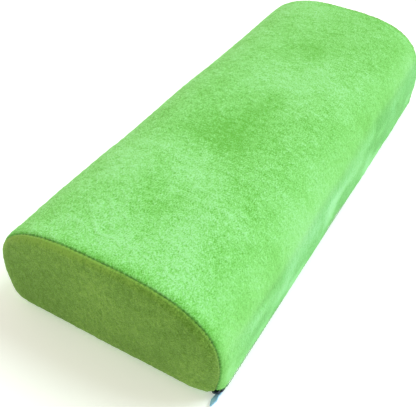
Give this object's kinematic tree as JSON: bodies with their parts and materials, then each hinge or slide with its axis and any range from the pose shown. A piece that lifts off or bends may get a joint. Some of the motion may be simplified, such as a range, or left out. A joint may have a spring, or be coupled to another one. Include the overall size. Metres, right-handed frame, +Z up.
{
  "type": "bolster pillow",
  "caption": "Half-moon bolster pillow with a flat base and domed top: a foam core in a plush cover with D-shaped ends, closed by a zip along one bottom edge.",
  "frame": {"origin": "centre of the flat base, on the plane the pillow rests on", "axes": "+X along the pillow, away from the end where the closed zip's slider is; +Y away from the zipped long edge; +Z up from the base to the crown"},
  "size_m": [0.4924, 0.2041, 0.1],
  "materials": {
    "plush": "short-pile plush, matt with a sheen",
    "sewing_thread": "matt thread",
    "liner": "matt non-woven",
    "foam": "matt open-cell foam",
    "zip_tape": "matt woven tape",
    "zip_coil": "satin nylon",
    "slider_metal": "dark painted die casting",
    "pull_metal": "satin blue-grey metal"
  },
  "bodies": {
    "pillow": {"foam_core": "foam", "liner_wrap": "liner", "liner_end_left": "liner", "liner_end_right": "liner", "cover_wrap": "plush", "cover_base": "plush", "cover_end_left": "plush", "cover_end_right": "plush", "end_seam_thread_left": "sewing_thread", "end_seam_thread_right": "sewing_thread", "rear_seam_thread": "sewing_thread", "zipper_stitch_upper": "sewing_thread", "zipper_stitch_lower": "sewing_thread", "zipper_tape_upper": "zip_tape", "zipper_tape_lower": "zip_tape", "zipper_coil_upper": "zip_coil", "zipper_coil_lower": "zip_coil", "zipper_top_stop_upper": "slider_metal", "zipper_top_stop_lower": "slider_metal", "zipper_bottom_stop": "slider_metal"},
    "slider": {"zipper_slider": "slider_metal"},
    "pull": {"zipper_pull": "pull_metal"}
  },
  "joints": [
    {"name": "slider_slide", "type": "slide", "parent": "pillow", "child": "slider", "axis": [1, 0, 0], "range_m": [0, 0.4502]},
    {"name": "pull_pivot", "type": "hinge", "parent": "slider", "child": "pull", "pos_m": [-0.2296, -0.0969, 0.00285], "axis": [0, -0.8782, 0.4784], "range_deg": [0, 175]}
  ]
}
